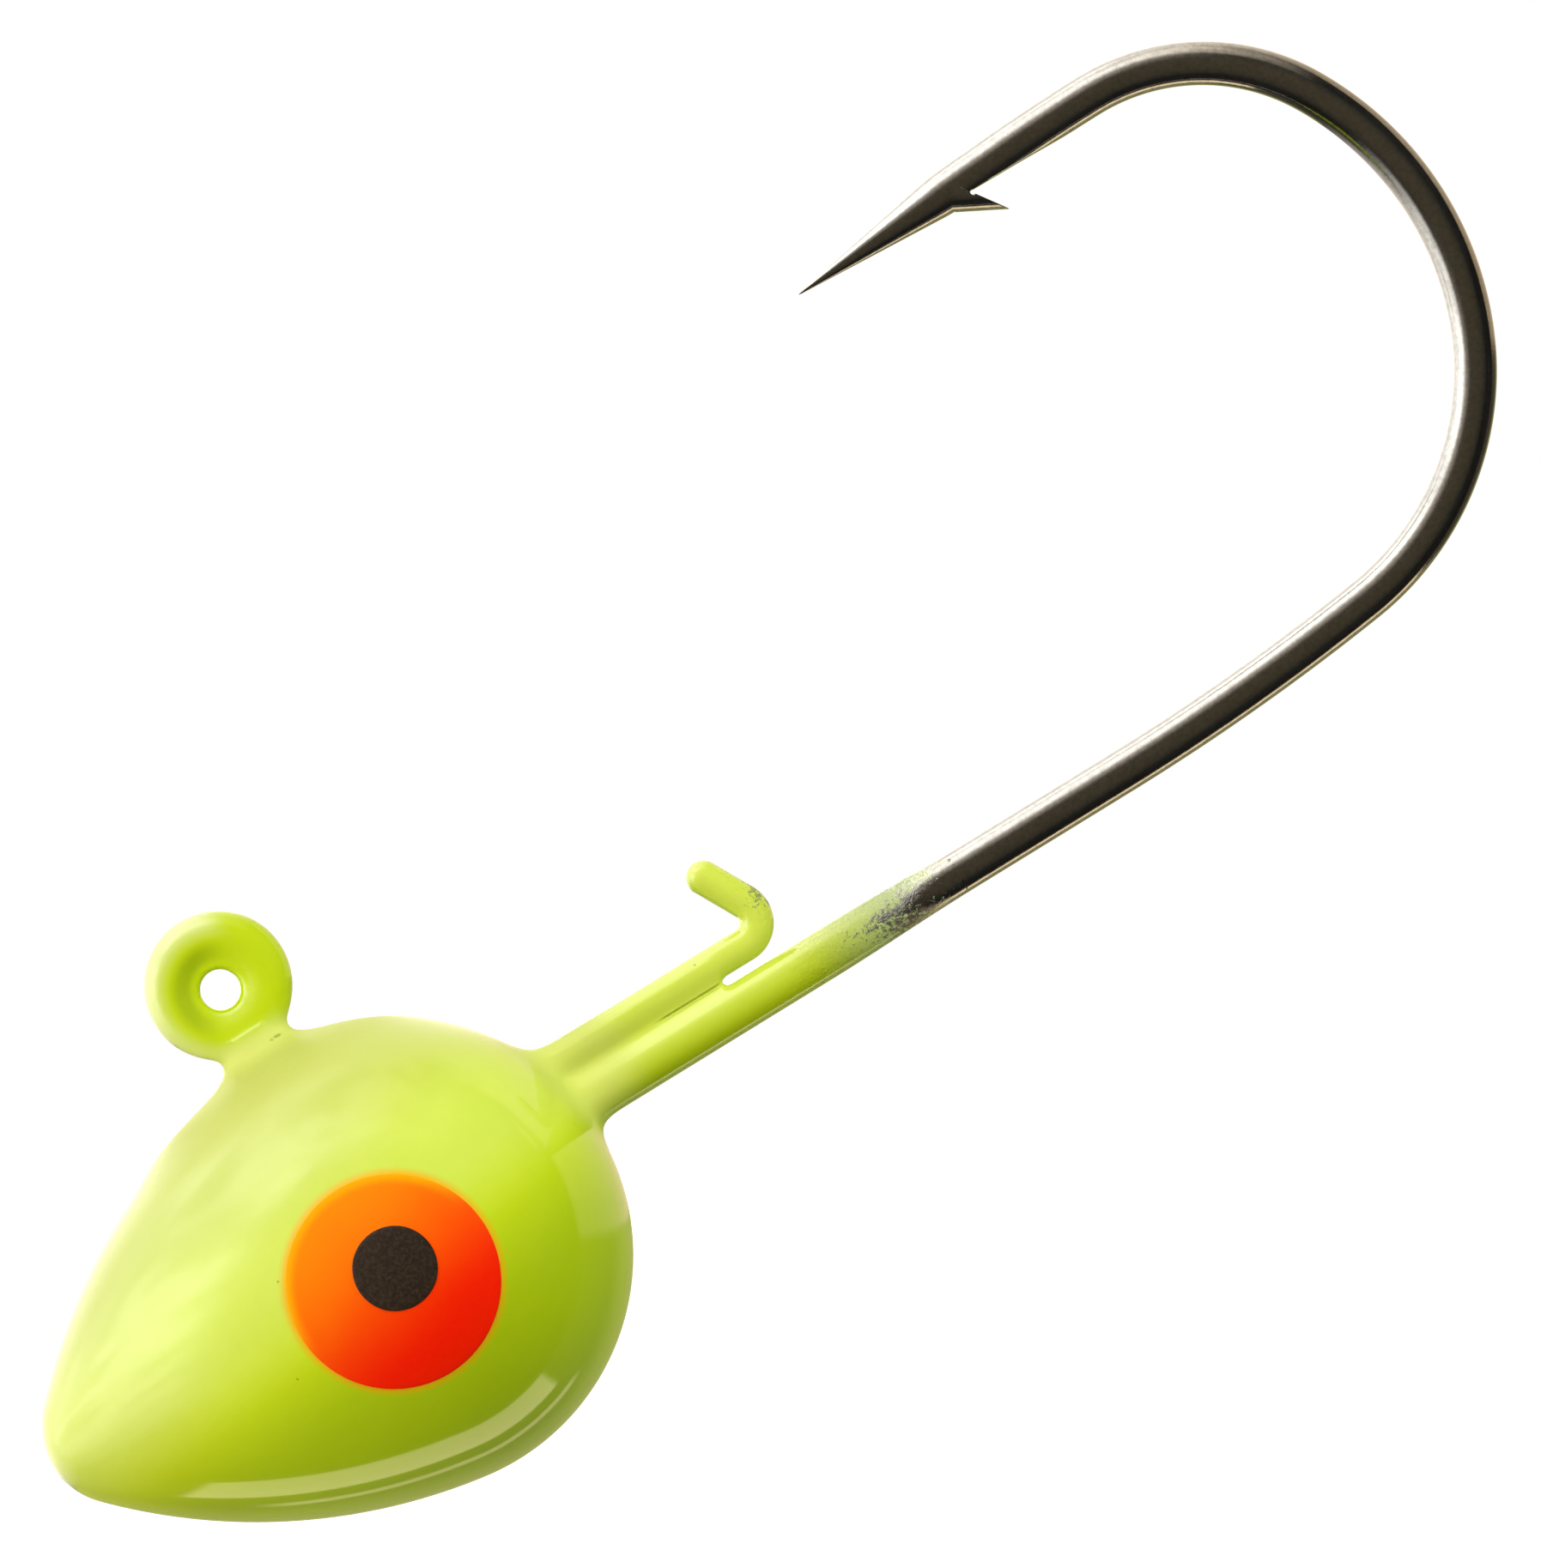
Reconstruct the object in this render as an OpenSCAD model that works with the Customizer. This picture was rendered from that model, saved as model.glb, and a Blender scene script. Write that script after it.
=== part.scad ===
// Teardrop jig head for soft lures: a 90 degree jig hook with a lead head cast round its leg,
// a wire bait keeper cast in beside the shank, a powder coat and eyes printed on both sides.
// It is upright as it is fished, in millimetres: +X runs along the shank to the bend, +Z points
// from the shank to the hook's point, and the hook lies in the plane y = 0.
// The origin is the centre of the line hole in the eyelet.

/* [Hook] */
// Diameter of the hook's wire
wire_d = 0.92; // [0.8:0.01:1]
// Inside diameter of the bare eyelet
eyelet_d = 1.12; // [1.1:0.01:1.5]
// Height of the eyelet's centre over the line hole's centre
eyelet_rise = 0.1; // [0:0.01:0.1]
// Direction in which the eyelet's wire ends, from +X
eyelet_end_angle = -62; // [-64:1:-20]
// Bend radius of the joggle that centres the eyelet over the leg
joggle_r = 0.8; // [0.6:0.05:1]
// Depth of the shank's centre line below the line hole
shank_drop = 5.97; // [5.5:0.01:6.5]
// Bend radius between the leg and the shank
corner_r = 2; // [1.5:0.1:2.5]
// Length from the leg's centre line to the end of the straight shank
shank_len = 18.27; // [16:0.01:22]
// Radius of the easy curve into the bend
heel_r = 50; // [40:1:60]
// Turn of the easy curve into the bend
heel_angle = 7.2; // [5:0.1:9]
// Radius of the lower part of the bend
lower_r = 6.1; // [5:0.1:7]
// Turn of the lower part of the bend
lower_angle = 59; // [55:1:63]
// Radius of the back of the bend
back_r = 6.8; // [5.5:0.1:8]
// Turn of the back of the bend
back_angle = 53; // [49:1:57]
// Radius of the upper part of the bend
upper_r = 4.5; // [3.8:0.1:5.5]
// Turn of the upper part of the bend
upper_angle = 61; // [57:1:65]
// Radius of the easy curve into the point's leg
spear_r = 40; // [30:1:50]
// Turn of the easy curve into the point's leg
spear_angle = 3.2; // [2:0.1:4]
// Straight length of the point's leg, before the point
spear_len = 1.44; // [1:0.01:3]

/* [Point] */
// Length of the needle point
point_len = 3.64; // [3:0.01:4.5]
// Diameter of the needle's very tip
tip_d = 0.03; // [0.02:0.01:0.06]
// Length of the barb, from the point's base back to its tip
barb_len = 1.01; // [0.8:0.01:1.2]
// Height of the barb's tip over the wire
barb_rise = 0.62; // [0.45:0.01:0.8]
// Distance of the notch under the barb behind the point's base
notch_back = 0.52; // [0.4:0.01:0.6]
// Depth of the notch in the wire
notch_depth = 0.17; // [0.1:0.01:0.22]
// Radius at the bottom of the notch
notch_r = 0.05; // [0.03:0.01:0.07]
// Length of the cut that lifted the barb, behind the notch
cut_len = 2.2; // [1.6:0.05:2.4]

/* [Head] */
// Length of the painted head, nose to back
head_len = 13.33; // [12:0.01:15]
// Radius of the head's round back
back_ball_r = 4.98; // [4.7:0.01:5.2]
// Radius of the arc along the head's flank
flank_r = 12.4; // [11:0.1:15]
// Radius of the head's nose
nose_r = 1.7; // [1.4:0.05:2.1]
// Distance of the round back's centre behind the leg
head_back = 0.18; // [0:0.01:0.4]
// Depth of the head's axis below the shank's centre line
head_drop = 0.635; // [0.4:0.005:0.9]

/* [Bait keeper] */
// Diameter of the keeper's wire
keeper_d = 0.6; // [0.5:0.01:0.7]
// Gap between the shank and the keeper's wire
keeper_gap = 0.29; // [0.27:0.01:0.4]
// Distance of the keeper's anchor behind the leg
anchor_back = 1.6; // [1.4:0.05:2.5]
// Length of the keeper's anchor, cast into the head
anchor_len = 1; // [0.6:0.05:1.4]
// Bend radius of the keeper's wire
keeper_bend_r = 0.52; // [0.48:0.01:0.7]
// Length of the keeper from the back of the head to its bend
keeper_len = 4.62; // [4:0.01:6]
// Turn of the keeper's free end
keeper_angle = 118; // [100:1:130]
// Straight length of the keeper's free end
keeper_tip = 1; // [0.7:0.05:1.5]

/* [Powder coat] */
// Thickness of the coat on the head
head_coat_t = 0.12; // [0.08:0.01:0.2]
// Thickness of the coat on the eyelet
eyelet_coat_t = 0.075; // [0.05:0.005:0.12]
// Diameter of the line hole that the coat leaves in the eyelet
line_hole_d = 0.84; // [0.74:0.01:0.84]
// Thickness of the film that lines the line hole
line_film_t = 0.72; // [0.5:0.01:0.9]
// Diameter of the coat's waist under the eyelet
neck_d = 1.42; // [1.3:0.01:1.6]
// Radius of the coat's fillet between the waist and the head
neck_fillet_r = 0.28; // [0.2:0.01:0.35]
// Thickness of the coat on the shank and the keeper
wire_coat_t = 0.06; // [0.04:0.005:0.08]
// Length of coated shank at the coat's full thickness, from the back of the head
shank_coat_len = 5.8; // [5:0.1:7]
// Length over which the shank's coat thins out
shank_coat_fade = 3.4; // [2:0.1:4.5]
// Radius of the coat's fillet where the shank leaves the head
shank_fillet_r = 0.4; // [0.2:0.01:0.5]
// Length of the web of coat between the shank and the keeper, from the back of the head
web_len = 3.86; // [3:0.01:4]
// Thickness of the web
web_t = 0.42; // [0.2:0.01:0.5]

/* [Eyes] */
// Diameter of the iris
iris_d = 4.45; // [3.5:0.01:5]
// Distance of the iris in front of the leg
iris_front = 0.03; // [0:0.01:0.4]
// Depth of the iris below the head's axis
iris_drop = 0.43; // [0.2:0.01:0.6]
// Diameter of the pupil
pupil_d = 1.77; // [1.4:0.01:2.4]
// Distance of the pupil behind the iris's centre
pupil_back = 0.18; // [0:0.01:0.3]
// Height of the pupil over the iris's centre
pupil_rise = 0.22; // [0:0.01:0.4]
// Thickness of one layer of print
print_t = 0.03; // [0.02:0.005:0.05]

/* [Hidden] */
$fn = 48;

// A hair, for the joins between shapes
hair = 0.01;

wire_r = wire_d / 2;
shank_z = -shank_drop;

// The eyelet's circle and the joggle touch where both centres line up
eyelet_r = (eyelet_d + wire_d) / 2;
joggle_angle = acos(joggle_r / (eyelet_r + joggle_r));
joggle_h = (eyelet_r + joggle_r) * sin(joggle_angle);
leg_len = shank_drop + eyelet_rise - joggle_h - corner_r;

// A bent wire is a list of steps: [length, 0] runs straight and [radius, turn] bends,
// to the left where the turn is positive
hook_steps = [
    [eyelet_r, 180 + joggle_angle - eyelet_end_angle],
    [joggle_r, -joggle_angle],
    [leg_len, 0],
    [corner_r, 90],
    [shank_len - corner_r, 0],
    [heel_r, heel_angle],
    [lower_r, lower_angle],
    [back_r, back_angle],
    [upper_r, upper_angle],
    [spear_r, spear_angle],
    [spear_len, 0]
];

// The head's outline is three arcs: back, flank and nose, each tangent to the next
head_z = shank_z - head_drop;
back_x = head_back + back_ball_r;
nose_x = back_x - head_len + nose_r;
centres = head_back - nose_x;
flank_dx = (pow(flank_r - nose_r, 2) - pow(flank_r - back_ball_r, 2) - pow(centres, 2)) / (2 * centres);
flank_x = head_back + flank_dx;
flank_y = -sqrt(pow(flank_r - back_ball_r, 2) - pow(flank_dx, 2));
back_normal = [-flank_dx, -flank_y] / (flank_r - back_ball_r);
nose_normal = [nose_x - flank_x, -flank_y] / (flank_r - nose_r);

keeper_z = shank_z + wire_r + keeper_gap + keeper_d / 2;
keeper_steps = [
    [anchor_len, 0],
    [keeper_bend_r, 90],
    [back_x + keeper_len - anchor_back - keeper_bend_r, 0],
    [keeper_bend_r, keeper_angle],
    [keeper_tip, 0]
];

coat = "#c8dc1e";
lead = "#8c8f91";
nickel = "#3a3833";

// ---- Bent wire

// One step of a wire of diameter d, from the origin along +X, bending towards +Z. It stops a hair
// short of the next step.
module wire_step(step, d) {
    if (step[1] == 0)
        rotate([0, 90, 0]) cylinder(h = step[0] - hair, d = d);
    else
        mirror([0, 0, step[1] < 0 ? 1 : 0])
            translate([0, 0, step[0]]) rotate([90, 0, 0]) rotate([0, 0, -90])
                rotate_extrude(angle = abs(step[1]) - hair / step[0] * 180 / PI, $fn = 96)
                    translate([step[0], 0]) circle(d = d, $fn = 36);
}

// Places its children at the end of the first n steps
module after_steps(steps, n, i = 0) {
    if (i == n)
        children();
    else if (steps[i][1] == 0)
        translate([steps[i][0], 0, 0]) after_steps(steps, n, i + 1) children();
    else {
        side = sign(steps[i][1]) * steps[i][0];
        translate([0, 0, side]) rotate([0, -steps[i][1], 0]) translate([0, 0, -side])
            after_steps(steps, n, i + 1) children();
    }
}

// The ball a hair larger than the wire that joins two steps
module joint_ball(d) {
    rotate([0, 90, 0]) sphere(d = d + hair / 5);
}

module bent_wire(steps, d) {
    for (i = [0 : len(steps) - 1])
        after_steps(steps, i) wire_step(steps[i], d);
    for (i = [1 : len(steps)])
        after_steps(steps, i) joint_ball(d);
}

// ---- Hook

// The start of the hook's wire, at the eyelet's free end
module from_eyelet_end() {
    translate([0, 0, eyelet_rise]) rotate([0, -eyelet_end_angle, 0]) translate([eyelet_r, 0, 0])
        rotate([0, -90, 0]) children();
}

// In the frame of the point, +X runs to the tip and +Z is the inside of the hook, as in the bends
module needle() {
    rotate([0, 90, 0]) cylinder(h = point_len, d1 = wire_d, d2 = tip_d);
}

// The barb is the wire's own skin, lifted: a tilted cylinder within the barb's outline
module barb() {
    tilt = atan2(barb_rise, barb_len);
    intersection() {
        rotate([90, 0, 0]) linear_extrude(wire_d, center = true)
            polygon([[0, 0], [0, wire_r], [-barb_len, wire_r + barb_rise],
                [-notch_back, wire_r - notch_depth], [-notch_back, 0]]);
        translate([-wire_r * sin(tilt), 0, wire_r - wire_r * cos(tilt)]) rotate([0, tilt - 90, 0])
            translate([0, 0, -wire_d]) cylinder(h = 2 * wire_d + barb_len, r = wire_r);
    }
}

// The cut that lifted the barb runs down into the wire, to a round notch under the barb
module barb_cut() {
    over = [notch_back - barb_len, notch_depth + barb_rise];
    rotate([90, 0, 0]) linear_extrude(2 * wire_d, center = true) {
        polygon([[-notch_back - cut_len, wire_r], [-notch_back, wire_r - notch_depth],
            [-notch_back, wire_r - notch_depth] + 2 * over, [-notch_back - cut_len, wire_r + 2 * over[1]]]);
        translate([-notch_back - notch_r / 2, wire_r - notch_depth + notch_r]) circle(r = notch_r);
    }
}

module hook_steel() {
    from_eyelet_end() difference() {
        union() {
            bent_wire(hook_steps, wire_d);
            after_steps(hook_steps, len(hook_steps)) {
                needle();
                barb();
            }
        }
        after_steps(hook_steps, len(hook_steps)) barb_cut();
    }
}

module hook() {
    color(nickel) hook_steel();
}

// ---- Bait keeper

module keeper_wire(extra = 0) {
    translate([anchor_back, 0, keeper_z + keeper_bend_r + anchor_len]) rotate([0, 90, 0])
        bent_wire(keeper_steps, keeper_d + 2 * extra);
}

module bait_keeper() {
    color(nickel) keeper_wire();
}

// ---- Head

// The half of a disc of radius r round [x, y] that lies beside the head's axis, from lo to hi
module arc_slab(x, y, r, lo, hi) {
    intersection() {
        translate([y, x]) circle(r = r);
        polygon([[0, lo], [r, lo], [r, hi], [0, hi]]);
    }
}

// The teardrop turned about the head's axis, set out by grow from the painted surface. The back
// and the nose are a hair larger than tangent, so that their arcs cross the flank's.
module teardrop(grow = 0) {
    rear_r = back_ball_r + grow + hair / 20;
    front_r = nose_r + grow + hair / 20;
    translate([0, 0, head_z]) rotate([0, 90, 0]) rotate_extrude($fn = 180) {
        arc_slab(head_back, 0, rear_r, head_back - rear_r, head_back + rear_r);
        arc_slab(flank_x, flank_y, flank_r + grow, flank_x + (flank_r + grow) * nose_normal[0],
            flank_x + (flank_r + grow) * back_normal[0]);
        arc_slab(nose_x, 0, front_r, nose_x - front_r, nose_x + front_r);
    }
}

module head_casting() {
    color(lead) difference() {
        teardrop(-head_coat_t);
        hook_steel();
        keeper_wire();
    }
}

module head_coat() {
    color(coat) difference() {
        teardrop();
        teardrop(-head_coat_t);
        hook_steel();
        keeper_wire();
    }
}

// ---- Coat on the wires

// A fillet about the Z axis: it flares from the radius r at the height of h to the plane z = 0
module flare(r, h) {
    rotate_extrude() difference() {
        translate([0, -h]) square([r + h, 2 * h]);
        translate([r + h, h]) circle(r = h);
    }
}

module eyelet_coat() {
    neck_r = neck_d / 2;
    head_top = head_z + back_ball_r;
    color(coat) difference() {
        union() {
            translate([0, 0, eyelet_rise]) rotate([90, 0, 0]) {
                rotate_extrude($fn = 96) translate([eyelet_r, 0]) circle(r = wire_r + eyelet_coat_t);
                cylinder(h = line_film_t, r = eyelet_r, center = true);
            }
            translate([0, 0, head_top]) flare(neck_r, neck_fillet_r);
            translate([0, 0, head_top + neck_fillet_r]) sphere(r = neck_r);
        }
        rotate([90, 0, 0]) cylinder(h = 2 * wire_d, d = line_hole_d, center = true);
        hook_steel();
        teardrop();
    }
}

module shank_coat() {
    coat_r = wire_r + wire_coat_t;
    color(coat) difference() {
        union() {
            translate([head_back, 0, shank_z]) rotate([0, 90, 0]) {
                cylinder(h = back_ball_r + shank_coat_len, r = coat_r);
                translate([0, 0, back_ball_r + shank_coat_len])
                    cylinder(h = shank_coat_fade, r1 = coat_r, r2 = wire_r + wire_coat_t / 4);
            }
            translate([back_x, 0, shank_z]) rotate([0, 90, 0]) flare(coat_r, shank_fillet_r);
            translate([head_back, -web_t / 2, shank_z])
                cube([back_ball_r + web_len, web_t, keeper_z - shank_z]);
        }
        hook_steel();
        keeper_wire(wire_coat_t);
        teardrop();
    }
}

module keeper_coat() {
    color(coat) difference() {
        keeper_wire(wire_coat_t);
        keeper_wire();
        teardrop();
    }
}

// ---- Printed eyes

// Layer n of the print, as far as a disc of diameter d seen from the side, on the side y * side > 0
module print_layer(n, d, x, z, side) {
    intersection() {
        difference() {
            teardrop(n * print_t);
            teardrop((n - 1) * print_t);
        }
        translate([x, 0, z]) rotate([-90 * side, 0, 0]) cylinder(h = 2 * back_ball_r, d = d);
    }
}

module iris(side) {
    color("#ff7a00") print_layer(1, iris_d, -iris_front, head_z - iris_drop, side);
}

module pupil(side) {
    color("#2e241c")
        print_layer(2, pupil_d, pupil_back - iris_front, head_z - iris_drop + pupil_rise, side);
}

module left_iris() {
    iris(-1);
}

module left_pupil() {
    pupil(-1);
}

module right_iris() {
    iris(1);
}

module right_pupil() {
    pupil(1);
}

hook();
head_casting();
bait_keeper();
head_coat();
eyelet_coat();
shank_coat();
keeper_coat();
left_iris();
left_pupil();
right_iris();
right_pupil();
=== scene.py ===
"""The looks of the jig head: coat, wire, print, light and camera, in the row's frame, in metres."""

import math

import bpy
import numpy as np
from mathutils import Matrix, Vector


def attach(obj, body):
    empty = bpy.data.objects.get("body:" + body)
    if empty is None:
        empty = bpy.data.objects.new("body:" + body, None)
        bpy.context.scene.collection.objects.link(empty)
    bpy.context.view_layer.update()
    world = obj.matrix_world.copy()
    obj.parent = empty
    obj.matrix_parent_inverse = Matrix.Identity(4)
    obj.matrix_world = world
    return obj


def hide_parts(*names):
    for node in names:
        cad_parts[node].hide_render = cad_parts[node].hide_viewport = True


MM = 0.001
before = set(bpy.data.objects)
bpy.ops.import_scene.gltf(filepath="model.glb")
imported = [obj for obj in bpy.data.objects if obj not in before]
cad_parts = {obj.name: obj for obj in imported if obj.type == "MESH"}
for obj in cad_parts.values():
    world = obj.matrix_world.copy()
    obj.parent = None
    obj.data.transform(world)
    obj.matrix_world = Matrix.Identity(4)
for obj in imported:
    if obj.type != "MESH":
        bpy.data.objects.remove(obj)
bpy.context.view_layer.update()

# ---------------------------------------------------------------- sizes, in mm, as in the part's source

WIRE_R = 0.46
EYELET_R = 1.02
EYELET_RISE = 0.1
EYELET_END = -62.0
JOGGLE_R = 0.8
SHANK_Z = -5.97
CORNER_R = 2.0
HEEL_X = 18.27
SPEAR_R = 40.0
SPEAR_LEN = 1.44
BENDS = ((50, 7.2), (6.1, 59), (6.8, 53), (4.5, 61), (SPEAR_R, 3.2))  # heel to spear: radius, turn in degrees
POINT_LEN = 3.64
TIP_R = 0.015
BARB_LEN, BARB_RISE = 1.01, 0.62
NOTCH_BACK, NOTCH_DEPTH, NOTCH_R = 0.52, 0.17, 0.05
CUT_LEN = 2.2
HEAD_Z = SHANK_Z - 0.635
BACK = np.array([0.18, 0.0, 4.98])  # each of the head's arcs: x, distance from the axis, radius
NOSE = np.array([-6.47, 0.0, 1.7])
FLANK_R = 12.4
BACK_X = BACK[0] + BACK[2]
KEEPER_R = 0.3
KEEPER_Z = SHANK_Z + WIRE_R + 0.29 + KEEPER_R
KEEPER_BEND_R = 0.52
KEEPER_START = BACK_X - 2.2
KEEPER_END = BACK_X + 4.62
KEEPER_TURN = 118.0
KEEPER_TIP = 1.0
EYELET_COAT = 0.075
WIRE_COAT = 0.06
LINE_HOLE_R = 0.42
LINE_FILM, LINE_FILM_R = 0.72, 0.95
NECK_X, NECK_Y = 0.69, 0.58  # half widths of the coated neck under the eyelet
NECK_Z, NECK_HALF = -2.1, 1.0
ROOT_X = BACK_X - 1  # where the coated wires begin, inside the head
WEB_END, WEB_T, WEB_HALF = BACK_X + 3.86, 0.42, 0.5
FULL_COAT_END = BACK_X + 5.8
COAT_END = FULL_COAT_END + 3.4
IRIS = (-0.03, HEAD_Z - 0.43, 2.225)  # x, z, radius
PUPIL = (0.15, HEAD_Z - 0.21, 0.885)
PRINT = 0.03

# how far the powder ran together where two of its surfaces meet
FILM_BLEND = HOLE_BLEND = 0.16
NECK_BLEND = 0.2
WIRES_BLEND = 0.12
WEB_BLEND, WEB_END_BLEND, WEB_END_BACK = 0.22, 0.15, 0.1
ROOT_BLEND = 0.8
HEAD_BLEND = 0.95
LAST_FILM = 0.001  # what is left of the coat where it ends on the shank
STEEL_EDGE = 0.03  # radius left on the point's cut edges

gap = BACK[0] - NOSE[0]
flank_dx = ((FLANK_R - NOSE[2]) ** 2 - (FLANK_R - BACK[2]) ** 2 - gap**2) / (2 * gap)
FLANK = np.array([BACK[0] + flank_dx, -math.sqrt((FLANK_R - BACK[2]) ** 2 - flank_dx**2), FLANK_R])


# ---------------------------------------------------------------- distances, in mm


def rounded_min(a, b, k):
    """The nearer of two surfaces, with a fillet of width k between them."""
    h = np.maximum(k - np.abs(a - b), 0) / k
    return np.minimum(a, b) - h * h * k / 4


def rounded_max(a, b, k):
    return -rounded_min(-a, -b, k)


def eased_min(a, b, k):
    """As rounded_min, but its fillet runs out softly on both sides."""
    h = np.maximum(k - np.abs(a - b), 0) / k
    return np.minimum(a, b) - h * h * h * k / 6


def teardrop(p):
    """Distance to the head's painted surface: three arcs turned about its axis."""
    x, q = p[:, 0], np.hypot(p[:, 1], p[:, 2] - HEAD_Z)
    back = np.hypot(x - BACK[0], q) - BACK[2]
    nose = np.hypot(x - NOSE[0], q) - NOSE[2]
    fx, fq = x - FLANK[0], q - FLANK[1]
    flank = np.hypot(fx, fq) - FLANK[2]
    to_back, to_nose = BACK[:2] - FLANK[:2], NOSE[:2] - FLANK[:2]
    behind = fx * to_back[1] - fq * to_back[0] > 0
    before = fx * to_nose[1] - fq * to_nose[0] < 0
    return np.where(behind, back, np.where(before, nose, flank))


class Wire:
    """A bent wire in the plane y = 0: steps are (length, 0) or (radius, turn in degrees)."""

    def __init__(self, x, z, heading, steps):
        p, h = np.array([x, z], float), math.radians(heading)
        self.steps = []
        for size, turn in steps:
            if turn == 0:
                q, k = p + size * np.array([math.cos(h), math.sin(h)]), h
                self.steps.append((p, q, h, size, 0.0, None))
            else:
                side = math.copysign(1, turn)
                c = p + side * size * np.array([-math.sin(h), math.cos(h)])
                k = h + math.radians(turn)
                q = c - side * size * np.array([-math.sin(k), math.cos(k)])
                self.steps.append((p, q, h, size, math.radians(turn), c))
            p, h = q, k
        self.end, self.heading = p, h

    def distance(self, p):
        """Distance to the wire's centre line."""
        x, z = p[:, 0], p[:, 2]
        best = np.full(len(p), 1e9)
        for a, b, h, size, turn, c in self.steps:
            if c is None:
                t = np.clip((x - a[0]) * math.cos(h) + (z - a[1]) * math.sin(h), 0, size)
                d = np.hypot(x - a[0] - t * math.cos(h), z - a[1] - t * math.sin(h))
            else:
                middle = math.atan2(a[1] - c[1], a[0] - c[0]) + turn / 2
                angle = np.arctan2(z - c[1], x - c[0]) - middle
                angle = np.abs((angle + math.pi) % (2 * math.pi) - math.pi)
                ends = np.minimum(np.hypot(x - a[0], z - a[1]), np.hypot(x - b[0], z - b[1]))
                d = np.where(angle < abs(turn) / 2, np.abs(np.hypot(x - c[0], z - c[1]) - size), ends)
            best = np.minimum(best, d)
        return np.hypot(best, p[:, 1])

    def stations(self, step, bend_step):
        """Points along the centre line with their headings, closer in bends."""
        out = []
        for a, b, h, size, turn, c in self.steps:
            length = size if c is None else size * abs(turn)
            n = max(2, int(math.ceil(length / (step if c is None else min(bend_step, size * 0.05)))))
            for t in np.arange(n) / n:
                if c is None:
                    out.append((a + t * (b - a), h))
                else:
                    k, side = h + turn * t, math.copysign(1, turn)
                    out.append((c - side * size * np.array([-math.sin(k), math.cos(k)]), k))
        out.append((self.end, self.heading))
        return out


joggle_turn = math.degrees(math.acos(JOGGLE_R / (EYELET_R + JOGGLE_R)))
joggle_h = (EYELET_R + JOGGLE_R) * math.sin(math.radians(joggle_turn))
end = math.radians(EYELET_END)
HOOK = Wire(
    EYELET_R * math.cos(end),
    EYELET_RISE + EYELET_R * math.sin(end),
    EYELET_END + 90,
    [
        (EYELET_R, 180 + joggle_turn - EYELET_END),
        (JOGGLE_R, -joggle_turn),
        (-SHANK_Z + EYELET_RISE - joggle_h - CORNER_R, 0),
        (CORNER_R, 90),
        (HEEL_X - CORNER_R, 0),
        *BENDS,
        (SPEAR_LEN, 0),
    ],
)
KEEPER = Wire(
    KEEPER_START,
    KEEPER_Z,
    0,
    [(KEEPER_END - KEEPER_START, 0), (KEEPER_BEND_R, KEEPER_TURN), (KEEPER_TIP, 0)],
)


def eyelet(p):
    """The coated ring, the film that lines its hole, and the neck under it."""
    ring = np.hypot(np.hypot(p[:, 0], p[:, 2] - EYELET_RISE) - EYELET_R, p[:, 1]) - WIRE_R - EYELET_COAT
    hole = np.hypot(p[:, 0], p[:, 2])
    film = np.maximum(np.abs(p[:, 1]) - LINE_FILM / 2, hole - LINE_FILM_R)
    neck = (np.hypot(p[:, 0] / NECK_X, p[:, 1] / NECK_Y) - 1) * NECK_Y
    neck = np.maximum(neck, np.abs(p[:, 2] - NECK_Z) - NECK_HALF)
    body = rounded_min(rounded_min(ring, film, FILM_BLEND), neck, NECK_BLEND)
    return rounded_max(body, LINE_HOLE_R - hole, HOLE_BLEND)


def shank(p):
    """The coated shank; the film runs out to nothing towards its end."""
    fade = np.clip((p[:, 0] - FULL_COAT_END) / (COAT_END - FULL_COAT_END), 0, 1)
    r = WIRE_R + WIRE_COAT - (WIRE_COAT - LAST_FILM) * fade * fade * (3 - 2 * fade)
    rod = np.hypot(p[:, 1], p[:, 2] - SHANK_Z) - r
    return np.maximum(rod, np.maximum(ROOT_X - p[:, 0], p[:, 0] - COAT_END))


def keeper(p):
    return KEEPER.distance(p) - KEEPER_R - WIRE_COAT


def web(p):
    """The web of powder between the shank and the keeper, with a rounded end."""
    high = np.abs(p[:, 2] - (SHANK_Z + KEEPER_Z) / 2) - WEB_HALF
    end = np.maximum(p[:, 0] - WEB_END + WEB_END_BACK, ROOT_X - p[:, 0])
    return rounded_max(np.maximum(np.abs(p[:, 1]) - WEB_T / 2, high), end, WEB_END_BLEND)


def coat(p):
    """The one film of powder that runs over the head, the eyelet and both wires."""
    wires = rounded_min(shank(p), keeper(p), WIRES_BLEND)
    wires = rounded_min(wires, web(p), WEB_BLEND)
    out = eased_min(teardrop(p), wires, ROOT_BLEND)
    return eased_min(out, eyelet(p), HEAD_BLEND)


def gradient(f, p, e=2e-3):
    """The slope of f at p, from steps of e to both sides."""
    g = np.empty_like(p)
    for i in range(3):
        d = np.zeros(3)
        d[i] = e
        g[:, i] = (f(p + d) - f(p - d)) / (2 * e)
    return g


def settled(f, p, rounds=4):
    """The points moved onto the surface f = 0, and their normals."""
    for _ in range(rounds):
        g = gradient(f, p)
        p = p - (f(p) / np.maximum((g * g).sum(1), 1e-6))[:, None] * g
    g = gradient(f, p)
    return p, g / np.linalg.norm(g, axis=1)[:, None]


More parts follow.
